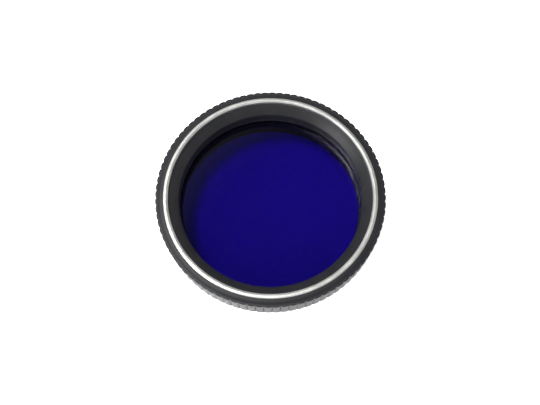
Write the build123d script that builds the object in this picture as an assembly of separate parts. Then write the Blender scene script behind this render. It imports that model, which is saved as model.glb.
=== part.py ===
from build123d import *
import math
import os

# Colour filter for a flashlight, in millimetres.
# It lies front up on its rear face. The origin is the centre of the rear face, and +Z is the
# optical axis, pointing out of the front. The light enters from behind and leaves upwards.

# Driving dimensions across the part, each one added outwards from the last
aperture_radius = 17.4
lip_overhang = 0.9
cone_width = 1.6
trim_setback = 0.1
trim_width = 0.9
rim_width = 1.05
rim_land_width = 0.45
rim_edge_width = 0.15
spigot_wall = 1.24

# Driving dimensions up the holder, from the rear face to the front face
spigot_length = 5.95
band_height = 6.0
rim_edge_height = 0.1
rim_fall = 0.05

# Driving dimensions down the inside of the holder, from the front face to the glass
trim_seat_depth = 0.7
cone_depth = 1.53
lip_length = 2.0
seal_thickness = 0.5
glass_thickness = 2.0
retainer_thickness = 2.2

# Driving dimensions of the ribbed grip band
rib_count = 90
rib_valley_step = 0.2
rib_depth = 0.25
rib_crown = 0.07
rib_foot_height = 0.9
rib_foot_step = 0.05

# Driving dimensions of the screw thread on the spigot, whose fine helix is not cut here
thread_pitch = 0.75
thread_depth = 0.46
relief_turns = 1.4
relief_depth = 0.15
lead_in_share = 0.7

# Driving dimensions of the bright trim ring
trim_proud = 0.1
trim_bevel_width = 0.32
trim_bevel_height = 0.2
trim_outer_edge = 0.12

# Driving dimensions of the seal, the retaining ring and its spanner slots
seal_width = 0.7
retainer_width = 0.85
slot_width = 1.8
slot_depth = 1.0

# Clearances and chamfers
glass_clearance = 0.1
seal_clearance = 0.05
retainer_clearance = 0.05
retainer_chamfer = 0.25
bore_chamfer = 0.3

# Heights above the rear face, worked out from the driving dimensions
shoulder_z = spigot_length
band_top_z = shoulder_z + band_height
rim_edge_z = band_top_z + rim_edge_height
holder_top_z = rim_edge_z + rim_fall
trim_top_z = holder_top_z + trim_proud
shelf_z = holder_top_z - trim_seat_depth
lip_top_z = shelf_z - cone_depth
seat_z = lip_top_z - lip_length
glass_front_z = seat_z - seal_thickness
glass_rear_z = glass_front_z - glass_thickness
retainer_rear_z = glass_rear_z - retainer_thickness

# Radii worked out from the driving dimensions
bore_radius = aperture_radius + lip_overhang
cone_mouth_radius = aperture_radius + cone_width
trim_inner_radius = cone_mouth_radius + trim_setback
trim_outer_radius = trim_inner_radius + trim_width
rim_radius = trim_outer_radius + rim_width
rib_valley_radius = rim_radius + rib_valley_step
rib_crest_radius = rib_valley_radius + rib_depth
glass_radius = bore_radius - glass_clearance
seal_outer_radius = bore_radius - seal_clearance
seal_inner_radius = seal_outer_radius - seal_width
retainer_outer_radius = bore_radius - retainer_clearance
retainer_inner_radius = retainer_outer_radius - retainer_width

# The spigot is drawn at the root of its thread. The groove at the shoulder clears the thread's
# last turn, and the chamfer at the free end its first.
thread_root_radius = bore_radius + spigot_wall
relief_radius = thread_root_radius - relief_depth
relief_width = relief_turns * thread_pitch
spigot_chamfer = lead_in_share * thread_depth


def profile(points):
    # A closed half section, drawn as radius and height
    return make_face(Polyline(*points, close=True))


def turned(section):
    # A half section turned once round the optical axis
    return revolve(Plane.XZ * section, Axis.Z)


def on_circle(radius, degrees):
    angle = math.radians(degrees)
    return (radius * math.cos(angle), radius * math.sin(angle))


def rib_outline():
    # Each rib has two 45 degree flanks, which meet the next rib's in a sharp valley, and a
    # shallow roof between them, whose ridge is the crest
    half_step = 180.0 / rib_count
    flank_rise = rib_depth - rib_crown
    shoulder_radius = rib_valley_radius + flank_rise
    flank_turn = math.degrees(flank_rise / rib_valley_radius)
    edges = []
    for index in range(rib_count):
        middle = 2 * half_step * index
        first_valley = on_circle(rib_valley_radius, middle - half_step)
        first_shoulder = on_circle(shoulder_radius, middle - half_step + flank_turn)
        crest = on_circle(rib_crest_radius, middle)
        last_shoulder = on_circle(shoulder_radius, middle + half_step - flank_turn)
        last_valley = on_circle(rib_valley_radius, middle + half_step)
        edges.append(Polyline(first_valley, first_shoulder, crest, last_shoulder, last_valley))
    return make_face(edges)


def ribbed_band():
    # The ribs run straight up the band and end flat, just outside the chamfered edge of the rim.
    # The inside of the band lies within the holder's wall, so that the two join.
    # Their lower ends taper in. The taper starts a step inside the valleys and runs out a step
    # outside the crests, so that it cuts every rib cleanly.
    outline = rib_outline() - Circle(trim_outer_radius)
    straight = Pos(0, 0, shoulder_z) * extrude(outline, amount=band_height)
    outside_radius = rib_crest_radius + rib_foot_step
    tapered = profile(
        [
            (0, shoulder_z),
            (rib_valley_radius - rib_foot_step, shoulder_z),
            (outside_radius, shoulder_z + rib_foot_height),
            (outside_radius, band_top_z),
            (0, band_top_z),
        ]
    )
    return straight & turned(tapered)


def holder_ring():
    # Turned from one bar: spigot, shoulder, band, plain rim, seat for the trim ring, the cone
    # that slopes in to the lip, and the bore that takes the seal, the glass and the retainer.
    # The rim's face is flat next to the trim ring and falls a little towards its chamfered edge.
    relief_start_z = shoulder_z - relief_width
    section = profile(
        [
            (bore_radius + bore_chamfer, 0),
            (thread_root_radius - spigot_chamfer, 0),
            (thread_root_radius, spigot_chamfer),
            (thread_root_radius, relief_start_z),
            (relief_radius, relief_start_z + relief_depth),
            (relief_radius, shoulder_z),
            (rim_radius, shoulder_z),
            (rim_radius, band_top_z),
            (rim_radius - rim_edge_width, rim_edge_z),
            (trim_outer_radius + rim_land_width, holder_top_z),
            (trim_outer_radius, holder_top_z),
            (trim_outer_radius, shelf_z),
            (cone_mouth_radius, shelf_z),
            (aperture_radius, lip_top_z),
            (aperture_radius, seat_z),
            (bore_radius, seat_z),
            (bore_radius, bore_chamfer),
        ]
    )
    return turned(section) + ribbed_band()


def trim_ring():
    # Bare metal ring in the rebate of the front face, a little proud of it, with a broken
    # outer edge and a wider bevel on the inside
    section = profile(
        [
            (trim_inner_radius, shelf_z),
            (trim_outer_radius, shelf_z),
            (trim_outer_radius, trim_top_z - trim_outer_edge),
            (trim_outer_radius - trim_outer_edge, trim_top_z),
            (trim_inner_radius + trim_bevel_width, trim_top_z),
            (trim_inner_radius, trim_top_z - trim_bevel_height),
        ]
    )
    return turned(section)


def glass_seal():
    # Flat ring between the lip and the glass
    section = profile(
        [
            (seal_inner_radius, glass_front_z),
            (seal_outer_radius, glass_front_z),
            (seal_outer_radius, seat_z),
            (seal_inner_radius, seat_z),
        ]
    )
    return turned(section)


def filter_glass():
    # Round flat pane
    section = profile(
        [
            (0, glass_rear_z),
            (glass_radius, glass_rear_z),
            (glass_radius, glass_front_z),
            (0, glass_front_z),
        ]
    )
    return turned(section)


def retaining_ring():
    # Screwed in behind the glass with a pin spanner that fits its two slots
    section = profile(
        [
            (retainer_inner_radius + retainer_chamfer, retainer_rear_z),
            (retainer_outer_radius, retainer_rear_z),
            (retainer_outer_radius, glass_rear_z),
            (retainer_inner_radius, glass_rear_z),
            (retainer_inner_radius, retainer_rear_z + retainer_chamfer),
        ]
    )
    from_below = (Align.CENTER, Align.CENTER, Align.MIN)
    slots = Box(2 * bore_radius, slot_width, slot_depth, align=from_below)
    return turned(section) - Pos(0, 0, retainer_rear_z) * slots


os.makedirs("parts", exist_ok=True)
pieces = {
    "holder_ring": holder_ring(),
    "trim_ring": trim_ring(),
    "glass_seal": glass_seal(),
    "filter_glass": filter_glass(),
    "retaining_ring": retaining_ring(),
}
for name, shape in pieces.items():
    export_step(shape, f"parts/{name}.step")
    print(name, "volume", round(shape.volume, 2), "top", round(shape.bounding_box().max.Z, 3))
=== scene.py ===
# %% [markdown]
# A flashlight's colour filter, front up on a white table.
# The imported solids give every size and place. This lesson dresses them: each cell makes one piece
# or one finish, says what it is on the real object, and prints what it measured.
# All lengths are in metres, and the optical axis is the Z axis.

# %% Load the fixed frame
import math
import bpy
from mathutils import Matrix, Vector


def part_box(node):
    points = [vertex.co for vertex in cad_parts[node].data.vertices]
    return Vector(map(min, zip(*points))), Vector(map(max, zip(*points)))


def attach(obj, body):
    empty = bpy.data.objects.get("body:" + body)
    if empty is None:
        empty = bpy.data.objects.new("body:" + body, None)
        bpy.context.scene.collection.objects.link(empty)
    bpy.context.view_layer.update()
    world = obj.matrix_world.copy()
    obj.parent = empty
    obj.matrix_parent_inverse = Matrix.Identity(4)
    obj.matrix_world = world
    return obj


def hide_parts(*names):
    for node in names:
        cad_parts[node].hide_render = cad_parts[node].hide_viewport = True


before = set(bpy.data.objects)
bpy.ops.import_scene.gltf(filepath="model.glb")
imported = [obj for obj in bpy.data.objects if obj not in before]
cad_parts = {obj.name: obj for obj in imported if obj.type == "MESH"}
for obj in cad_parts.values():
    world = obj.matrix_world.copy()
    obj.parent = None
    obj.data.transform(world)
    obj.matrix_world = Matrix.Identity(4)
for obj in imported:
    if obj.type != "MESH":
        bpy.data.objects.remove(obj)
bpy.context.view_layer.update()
mm = 0.001
print("CAD nodes:", sorted(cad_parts))

# %% [markdown]
# The solids say how far out and how high each piece reaches. Those few numbers are read once, and
# every size below is one of them plus or minus a named wall, step or chamfer.

# %% Read the reach of each solid
holder_low, holder_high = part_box("holder_ring")
trim_low, trim_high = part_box("trim_ring")
seal_low, seal_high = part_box("glass_seal")
glass_low, glass_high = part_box("filter_glass")
crest_r = holder_high.x
face_z = holder_high.z
trim_r = trim_high.x
shelf_z = trim_low.z
print("holder radius and height in mm:", round(crest_r / mm, 2), round(face_z / mm, 2))

# %% [markdown]
# The widths and depths between those edges are the maker's own: walls, chamfers and the ribs.

# %% Name the walls, steps and chamfers
rib_count = 90
rib_depth = 0.25 * mm
rib_crown = 0.07 * mm
foot_r = 21.2 * mm
foot_slope = 0.9 / 0.35
shoulder_z = 5.95 * mm
band_top_z = 11.95 * mm
rim_r = 21.05 * mm
rim_edge_z = 12.05 * mm
rim_land_r = 20.45 * mm
cone_mouth_r = 19.0 * mm
aperture_r = 17.4 * mm
lip_z = 9.87 * mm
bore_r = 18.3 * mm
spigot_r = 19.54 * mm
relief_r = 19.39 * mm
relief_z = 4.9 * mm
relief_depth = 0.15 * mm
rim_edge_width = 0.15 * mm
bore_chamfer = 0.3 * mm
spigot_chamfer = 0.32 * mm
rebate_break = 0.04 * mm
small_break = 0.05 * mm
fine_round = 0.06 * mm
print("ribs:", rib_count, "of depth in mm:", round(rib_depth / mm, 2))

# %% [markdown]
# Blender's operators act on whatever is selected, so each new piece starts from a clean
# selection, and corners are picked in code by where they lie.

# %% Helpers for selecting and editing
pick_reach = 0.01 * mm


def start_clean():
    if bpy.context.mode != "OBJECT":
        bpy.ops.object.mode_set(mode="OBJECT")
    bpy.ops.object.select_all(action="DESELECT")


def edit(piece):
    start_clean()
    bpy.context.view_layer.objects.active = piece
    piece.select_set(True)
    bpy.ops.object.mode_set(mode="EDIT")


def pick(piece, test):
    # Selects the vertices whose place passes the test, and says how many there are
    bpy.ops.mesh.select_mode(type="VERT")
    bpy.ops.mesh.select_all(action="DESELECT")
    bpy.ops.object.mode_set(mode="OBJECT")
    chosen = 0
    for vertex in piece.data.vertices:
        vertex.select = test(vertex.co)
        chosen += vertex.select
    bpy.ops.object.mode_set(mode="EDIT")
    return chosen


def near(radius, height, reach=pick_reach):
    # A test for the vertices at this radius and height
    return lambda co: abs(math.hypot(co.x, co.y) - radius) < reach and abs(co.z - height) < reach


def finish_piece(piece, angle=32):
    # Outward normals, smooth faces with crisp edges, and the place kept in the mesh
    start_clean()
    bpy.context.view_layer.objects.active = piece
    piece.select_set(True)
    bpy.ops.object.transform_apply(location=True, rotation=True, scale=True)
    bpy.ops.object.shade_smooth_by_angle(angle=math.radians(angle))
    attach(piece, "root")
    print(piece.name, "faces:", len(piece.data.polygons))


# %% [markdown]
# Everything on this object came off a lathe. A turned piece is drawn as half of its section, and
# the section is then spun round the axis. A cylinder with loop cuts would need a scale for every
# step of the profile; the section keeps each radius and height as one readable pair.

# %% Draw a half section and spin it
merge_gap = 0.001 * mm


def draw_section(name, places):
    # A chain of vertices through (radius, height) places, closed at the end
    start_clean()
    first = places[0]
    bpy.ops.mesh.primitive_plane_add(size=mm, location=(first[0], 0, first[1]))
    piece = bpy.context.object
    piece.name = name
    piece.data.name = name
    bpy.ops.object.transform_apply(location=True, rotation=True, scale=True)
    edit(piece)
    bpy.ops.mesh.select_all(action="SELECT")
    bpy.ops.mesh.merge(type="CENTER")
    for before, after in zip(places, places[1:]):
        step = (after[0] - before[0], 0, after[1] - before[1])
        bpy.ops.mesh.extrude_region_move(TRANSFORM_OT_translate={"value": step})
    pick(piece, lambda co: near(*places[0])(co) or near(*places[-1])(co))
    bpy.ops.mesh.edge_face_add()
    return piece


def round_corners(piece, places, width, segments=3):
    # Rounds corners of the section while it is still a flat chain
    count = pick(piece, lambda co: any(near(*place)(co) for place in places))
    bpy.ops.mesh.bevel(offset=width, segments=segments, affect="VERTICES")
    print(piece.name, "rounded corners:", count)


def spin_section(piece, steps):
    bpy.ops.mesh.select_all(action="SELECT")
    bpy.ops.mesh.spin(steps=steps, angle=2 * math.pi, center=(0, 0, 0), axis=(0, 0, 1))
    bpy.ops.mesh.select_all(action="SELECT")
    bpy.ops.mesh.remove_doubles(threshold=merge_gap)
    bpy.ops.mesh.normals_make_consistent(inside=False)


# %% [markdown]
# The holder is one turned body: a spigot for the thread, a shoulder, the grip band, a plain rim, a
# rebate for the bright ring, the cone that slopes in to the lip, and the bore behind it.

# %% Draw the holder's section
foot_top_z = shoulder_z + (crest_r - foot_r) * foot_slope
holder_section = [
    (bore_r + bore_chamfer, 0),
    (spigot_r - spigot_chamfer, 0),
    (spigot_r, spigot_chamfer),
    (spigot_r, relief_z),
    (relief_r, relief_z + relief_depth),
    (relief_r, shoulder_z),
    (foot_r, shoulder_z),
    (crest_r, foot_top_z),
    (crest_r, band_top_z - small_break),
    (crest_r - small_break, band_top_z),
    (rim_r, band_top_z),
    (rim_r - rim_edge_width, rim_edge_z),
    (rim_land_r, face_z),
    (trim_r + rebate_break, face_z),
    (trim_r, face_z - rebate_break),
    (trim_r, shelf_z),
    (cone_mouth_r, shelf_z),
    (aperture_r, lip_z),
    (aperture_r, seal_high.z),
    (bore_r, seal_high.z),
    (bore_r, bore_chamfer),
]
ribbed_holder = draw_section("ribbed_holder", holder_section)
round_corners(ribbed_holder, [(aperture_r, lip_z)], 2 * fine_round)
round_corners(ribbed_holder, [(cone_mouth_r, shelf_z)], fine_round)

# %% [markdown]
# The grip is straight reeding: ribs with 45 degree flanks that meet in sharp valleys, and a
# crowned top. Ninety separate ribs could be copied and joined, but their feet would leave seams.
# The section is spun in a whole number of steps for each rib instead, and then each column of
# the band is drawn in towards the axis by its own amount, so the ribs grow out of one clean mesh.
# Their lower ends run out on a cone, so the foot of each column also moves down along that cone.

# %% Spin the holder
columns_per_rib = 16
holder_steps = rib_count * columns_per_rib
spin_section(ribbed_holder, holder_steps)
print("steps round the holder:", holder_steps)


# %% Work out the outline of a rib
def rib_radius(column):
    # Radius of the rib's outline at one of its columns, counted from the crest
    pitch = 2 * math.pi * crest_r / rib_count
    from_valley = abs(0.5 - column / columns_per_rib) * pitch
    flank = rib_depth - rib_crown
    if from_valley < flank:
        return crest_r - rib_depth + from_valley
    across = (pitch / 2 - from_valley) / (pitch / 2 - flank)
    return crest_r - rib_crown * across ** 2


def column_of(co):
    turn = math.atan2(co.y, co.x) / (2 * math.pi) % 1
    return round(turn * holder_steps) % columns_per_rib


def on_band(co):
    high_enough = shoulder_z - fine_round < co.z < band_top_z + fine_round
    return high_enough and math.hypot(co.x, co.y) > crest_r - small_break - pick_reach


print("valley radius in mm:", round(rib_radius(columns_per_rib / 2) / mm, 2))

# %% Draw in the ribs and their feet
for column in range(1, columns_per_rib):
    pick(ribbed_holder, lambda co: near(crest_r, foot_top_z)(co) and column_of(co) == column)
    drop = (rib_radius(column) - crest_r) * foot_slope
    bpy.ops.transform.translate(value=(0, 0, drop))
    pick(ribbed_holder, lambda co: on_band(co) and column_of(co) == column)
    draw_in = rib_radius(column) / crest_r
    bpy.ops.transform.resize(value=(draw_in, draw_in, 1), center_override=(0, 0, 0))
finish_piece(ribbed_holder)
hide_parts("holder_ring")

# %% [markdown]
# The bright ring is bare metal, pressed into the rebate and left a little proud. Its top is flat,
# with a broken outer edge and a wider bevel inside, which catch the light as bands of different
# brightness. Four chamfers on a tube would each need its own selection, so it is drawn as a section.

# %% Turn the bright ring
trim_width = 0.9 * mm
trim_outer_edge = 0.12 * mm
trim_bevel_width = 0.32 * mm
trim_bevel_height = 0.2 * mm
ring_steps = 360
trim_inner_r = trim_r - trim_width
trim_section = [
    (trim_inner_r, shelf_z),
    (trim_r, shelf_z),
    (trim_r, trim_high.z - trim_outer_edge),
    (trim_r - trim_outer_edge, trim_high.z),
    (trim_inner_r + trim_bevel_width, trim_high.z),
    (trim_inner_r, trim_high.z - trim_bevel_height),
]
bright_ring = draw_section("bright_ring", trim_section)
round_corners(bright_ring, trim_section[2:], fine_round)
spin_section(bright_ring, ring_steps)
finish_piece(bright_ring)
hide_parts("trim_ring")

# %% [markdown]
# The filter itself is a flat round pane, coloured all through. A cylinder is the right start: its
# two rims only need the small ground chamfer that stops a pane from chipping.

# %% Grind the pane
start_clean()
pane_steps = 256
pane_chamfer = 0.2 * mm
glass_r = glass_high.x
bpy.ops.mesh.primitive_cylinder_add(
    vertices=pane_steps,
    radius=glass_r,
    depth=glass_high.z - glass_low.z,
    location=(0, 0, (glass_high.z + glass_low.z) / 2),
)
blue_pane = bpy.context.object
blue_pane.name = "blue_pane"
blue_pane.data.name = "blue_pane"
edit(blue_pane)
bpy.ops.mesh.select_all(action="SELECT")
bpy.ops.mesh.bevel(offset=pane_chamfer, segments=1, affect="EDGES")
bpy.ops.mesh.normals_make_consistent(inside=False)
finish_piece(blue_pane, angle=20)
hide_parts("filter_glass")

# %% [markdown]
# A flat seal lies between the lip and the pane. Its inner edge, a little outside the lip, is
# rounded, so it shows as a thin soft line round the pane. A torus would give it a round section,
# but a seal that is cut from sheet is flat, so it is drawn and spun like the metal rings.

# %% Turn the seal
seal_width = 0.7 * mm
seal_round = 0.18 * mm
seal_inner_r = seal_high.x - seal_width
seal_section = [
    (seal_inner_r, seal_low.z),
    (seal_high.x, seal_low.z),
    (seal_high.x, seal_high.z),
    (seal_inner_r, seal_high.z),
]
soft_seal = draw_section("soft_seal", seal_section)
round_corners(soft_seal, [seal_section[0], seal_section[3]], seal_round, segments=4)
spin_section(soft_seal, pane_steps)
finish_piece(soft_seal)
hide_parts("glass_seal")

# %% [markdown]
# Metal that comes off a lathe shows faint circles about the axis and a fine grain. Both are worked
# out from the place on the piece: the circles from the distance to the axis and the height, the
# grain from a small noise. One node group gives every metal here the same kind of surface.

# %% Build the turned grain group
def turned_grain_group():
    group = bpy.data.node_groups.new("turned_grain", "ShaderNodeTree")
    face = group.interface
    scale = face.new_socket("Grain Size", in_out="INPUT", socket_type="NodeSocketFloat")
    lines = face.new_socket("Line Count", in_out="INPUT", socket_type="NodeSocketFloat")
    blend = face.new_socket("Line Share", in_out="INPUT", socket_type="NodeSocketFloat")
    scale.default_value = 9000.0
    lines.default_value = 14000.0
    blend.default_value = 0.3
    face.new_socket("Height", in_out="OUTPUT", socket_type="NodeSocketFloat")
    face.new_socket("Patches", in_out="OUTPUT", socket_type="NodeSocketFloat")
    nodes = group.nodes
    link = group.links.new
    inside = nodes.new("NodeGroupInput")
    outside = nodes.new("NodeGroupOutput")
    coords = nodes.new("ShaderNodeTexCoord")
    split = nodes.new("ShaderNodeSeparateXYZ")
    link(coords.outputs["Object"], split.inputs[0])
    flat = nodes.new("ShaderNodeCombineXYZ")
    link(split.outputs["X"], flat.inputs["X"])
    link(split.outputs["Y"], flat.inputs["Y"])
    radius = nodes.new("ShaderNodeVectorMath")
    radius.operation = "LENGTH"
    link(flat.outputs[0], radius.inputs[0])
    along = nodes.new("ShaderNodeMath")
    along.operation = "SUBTRACT"
    link(radius.outputs["Value"], along.inputs[0])
    link(split.outputs["Z"], along.inputs[1])
    count = nodes.new("ShaderNodeMath")
    count.operation = "MULTIPLY"
    link(along.outputs[0], count.inputs[0])
    link(inside.outputs["Line Count"], count.inputs[1])
    circles = nodes.new("ShaderNodeTexNoise")
    circles.noise_dimensions = "1D"
    circles.inputs["Scale"].default_value = 1.0
    circles.inputs["Detail"].default_value = 2.0
    link(count.outputs[0], circles.inputs["W"])
    grain = nodes.new("ShaderNodeTexNoise")
    grain.inputs["Detail"].default_value = 2.0
    link(coords.outputs["Object"], grain.inputs["Vector"])
    link(inside.outputs["Grain Size"], grain.inputs["Scale"])
    mix = nodes.new("ShaderNodeMix")
    mix.data_type = "FLOAT"
    link(inside.outputs["Line Share"], mix.inputs["Factor"])
    link(grain.outputs["Fac"], mix.inputs["A"])
    link(circles.outputs["Fac"], mix.inputs["B"])
    link(mix.outputs["Result"], outside.inputs["Height"])
    patches = nodes.new("ShaderNodeTexNoise")
    patches.inputs["Scale"].default_value = 350.0
    patches.inputs["Detail"].default_value = 4.0
    link(coords.outputs["Object"], patches.inputs["Vector"])
    link(patches.outputs["Fac"], outside.inputs["Patches"])
    return group


turned_grain = turned_grain_group()
print("group outputs:", [s.name for s in turned_grain.interface.items_tree if s.in_out == "OUTPUT"])

# %% [markdown]
# A material here is always the same small set: the group, a ramp from its patches to the base
# colour, another to the roughness, and a bump. Uniform values are set on the shader itself.

# %% Helpers for the metal finishes
pattern_low = 0.3
pattern_high = 0.7


def new_material(name):
    material = bpy.data.materials.new(name)
    material.use_nodes = True
    shader = material.node_tree.nodes["Principled BSDF"]
    print("material:", name)
    return material, material.node_tree.nodes, material.node_tree.links.new, shader


def range_of(nodes, link, source, low, high):
    # Spreads a 0 to 1 pattern between two values
    spread = nodes.new("ShaderNodeMapRange")
    spread.inputs["From Min"].default_value = pattern_low
    spread.inputs["From Max"].default_value = pattern_high
    spread.inputs["To Min"].default_value = low
    spread.inputs["To Max"].default_value = high
    link(source, spread.inputs["Value"])
    return spread.outputs[0]


def colour_of(nodes, link, source, dark, light):
    ramp = nodes.new("ShaderNodeValToRGB")
    ramp.color_ramp.elements[0].position = pattern_low
    ramp.color_ramp.elements[0].color = (*dark, 1)
    ramp.color_ramp.elements[1].position = pattern_high
    ramp.color_ramp.elements[1].color = (*light, 1)
    link(source, ramp.inputs["Fac"])
    return ramp.outputs["Color"]


def grained(name, grain_size, line_count, line_share, bump, dark, light, rough):
    material, nodes, link, shader = new_material(name)
    surface = nodes.new("ShaderNodeGroup")
    surface.node_tree = turned_grain
    surface.inputs["Grain Size"].default_value = grain_size
    surface.inputs["Line Count"].default_value = line_count
    surface.inputs["Line Share"].default_value = line_share
    link(colour_of(nodes, link, surface.outputs["Patches"], dark, light), shader.inputs["Base Color"])
    link(range_of(nodes, link, surface.outputs["Height"], *rough), shader.inputs["Roughness"])
    relief = nodes.new("ShaderNodeBump")
    relief.inputs["Strength"].default_value = bump
    relief.inputs["Distance"].default_value = 0.02 * mm
    link(surface.outputs["Height"], relief.inputs["Height"])
    link(relief.outputs["Normal"], shader.inputs["Normal"])
    return material, shader


# %% [markdown]
# The holder is aluminium with a hard black anodised skin: nearly black, matt, with a cold tinge.

# %% Black anodised aluminium
anodised, shader = grained(
    "black_anodised",
    grain_size=9000,
    line_count=12000,
    line_share=0.35,
    bump=0.5,
    dark=(0.003, 0.0031, 0.0038),
    light=(0.005, 0.0051, 0.0062),
    rough=(0.38, 0.52),
)
shader.inputs["Specular IOR Level"].default_value = 0.1
for piece in (ribbed_holder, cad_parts["retaining_ring"]):
    piece.data.materials.clear()
    piece.data.materials.append(anodised)

# %% [markdown]
# The bright ring is bare, with a grainy satin surface that breaks the light into small sparkles.

# %% Bare satin metal
bare_metal, shader = grained(
    "bare_metal",
    grain_size=5200,
    line_count=16000,
    line_share=0.15,
    bump=1.0,
    dark=(0.13, 0.13, 0.125),
    light=(0.20, 0.20, 0.192),
    rough=(0.32, 0.52),
)
shader.inputs["Metallic"].default_value = 0.85
bright_ring.data.materials.append(bare_metal)

# %% [markdown]
# The seal is plain matt rubber, black like the metal round it but softer to the light.

# %% Seal rubber
rubber, shader = grained(
    "seal_rubber",
    grain_size=3000,
    line_count=3000,
    line_share=0.1,
    bump=0.4,
    dark=(0.012, 0.012, 0.014),
    light=(0.02, 0.02, 0.022),
    rough=(0.55, 0.75),
)
soft_seal.data.materials.append(rubber)

# %% [markdown]
# The pane is deep blue all through. Light that reaches the table through it goes down through the
# colour once and comes back up once, so the blue seen in the pane is the colour of two passes.
# A ray traced lamp is normally stopped by glass, so for shadow and diffuse rays the pane is a
# clear blue film: that is what lights the table under it.

# %% Blue glass
blue_glass, nodes, link, shader = new_material("blue_glass")
pane_tint = (0.13, 0.09, 0.41)
shader.inputs["Base Color"].default_value = (*pane_tint, 1)
shader.inputs["Roughness"].default_value = 0.0
shader.inputs["IOR"].default_value = 1.5
shader.inputs["Transmission Weight"].default_value = 1.0
film = nodes.new("ShaderNodeBsdfTransparent")
film.inputs["Color"].default_value = (*pane_tint, 1)
rays = nodes.new("ShaderNodeLightPath")
to_lamp = nodes.new("ShaderNodeMixShader")
link(rays.outputs["Is Shadow Ray"], to_lamp.inputs["Fac"])
link(shader.outputs[0], to_lamp.inputs[1])
link(film.outputs[0], to_lamp.inputs[2])
to_table = nodes.new("ShaderNodeMixShader")
link(rays.outputs["Is Diffuse Ray"], to_table.inputs["Fac"])
link(to_lamp.outputs[0], to_table.inputs[1])
link(film.outputs[0], to_table.inputs[2])
link(to_table.outputs[0], nodes["Material Output"].inputs["Surface"])
blue_pane.data.materials.append(blue_glass)

# %% [markdown]
# The table is plain white, and large enough to fill every view.

# %% White table
start_clean()
table_width = 3.0
table_gap = 0.01 * mm
bpy.ops.mesh.primitive_plane_add(size=table_width, location=(0, 0, holder_low.z - table_gap))
table_top = bpy.context.object
table_top.name = "table_top"
white, nodes, link, shader = new_material("table_white")
shader.inputs["Base Color"].default_value = (0.86, 0.86, 0.86, 1)
shader.inputs["Roughness"].default_value = 0.6
table_top.data.materials.append(white)

# %% [markdown]
# The camera stands where the photographer's did, about a hand's width above the part on its near
# side, and looks down at it. Its place is given from the centre of the bright ring.

# %% Place the camera
ring_centre = Vector((0, 0, trim_high.z))
camera_distance = 103.76 * mm
camera_lean = math.radians(21.654)
aim_lean = math.radians(20.531)
camera_yaw = math.radians(0.051)
camera_roll = math.radians(-0.974)
bpy.ops.object.camera_add()
camera = bpy.context.object
from_ring = Vector((0, -math.sin(camera_lean), math.cos(camera_lean)))
camera.location = ring_centre + camera_distance * from_ring
aim = Matrix.Rotation(aim_lean, 3, "X") @ Matrix.Rotation(camera_yaw, 3, "Y")
camera.rotation_euler = (aim @ Matrix.Rotation(camera_roll, 3, "Z")).to_euler()
camera.data.sensor_width = 36.0
camera.data.lens = 37.208
camera.data.clip_start = 1 * mm
bpy.context.scene.camera = camera
print("camera height in mm:", round(camera.location.z / mm, 1))

# %% [markdown]
# The light is soft. A source overhead throws the blue light on the table a little to the lower
# right. It is small enough that the pane does not mirror it. A weak low window on the left whitens
# the left of the bright ring. The room around is bright near the horizon and dark overhead, which
# keeps the table white and the blacks deep.

# %% Set the lights
def soft_light(name, direction, distance, size, power):
    place = Vector(direction).normalized() * distance
    bpy.ops.object.light_add(type="AREA", location=place)
    lamp = bpy.context.object
    lamp.name = name
    lamp.data.shape = "DISK"
    lamp.data.size = size
    lamp.data.energy = power
    lamp.rotation_euler = (-place).to_track_quat("-Z", "Y").to_euler()
    print(name, "power in watts:", power)


soft_light("window_left", direction=(-0.84, -0.365, 0.404), distance=0.5, size=0.22, power=4.0)
soft_light("overhead", direction=(-0.253, 0.162, 1), distance=0.6, size=0.144, power=6.0)

# %% [markdown]
# The room could be one grey, but then the rim and the glass would mirror it and go pale. A ramp on
# the height of each direction gives it bright walls and a dark ceiling instead.

# %% Light the room round the table
bright_wall = 1.0
dim_slope = 0.08
dark_ceiling = 0.008
room_strength = 3.0
ceiling_direction = Vector((0.06, 0.28, 1)).normalized()
world = bpy.data.worlds.new("room")
world.use_nodes = True
room_nodes = world.node_tree.nodes
room_link = world.node_tree.links.new
room_direction = room_nodes.new("ShaderNodeTexCoord")
room_height = room_nodes.new("ShaderNodeVectorMath")
room_height.operation = "DOT_PRODUCT"
room_height.inputs[1].default_value = ceiling_direction
room_link(room_direction.outputs["Generated"], room_height.inputs[0])
room_ramp = room_nodes.new("ShaderNodeValToRGB")
stops = room_ramp.color_ramp.elements
for place, level in ((0.697, bright_wall), (0.825, dim_slope), (0.969, dim_slope), (0.982, dark_ceiling)):
    stop = stops.new(place)
    stop.color = (level, level, level, 1)
stops[0].color = (bright_wall, bright_wall, bright_wall, 1)
stops[-1].color = (dark_ceiling, dark_ceiling, dark_ceiling, 1)
room_link(room_height.outputs["Value"], room_ramp.inputs["Fac"])
room_link(room_ramp.outputs["Color"], room_nodes["Background"].inputs["Color"])
room_nodes["Background"].inputs["Strength"].default_value = room_strength
bpy.context.scene.world = world
bpy.context.scene.view_settings.view_transform = "Standard"

# %% [markdown]
# Last, the selection is cleared.

# %% Finish
start_clean()
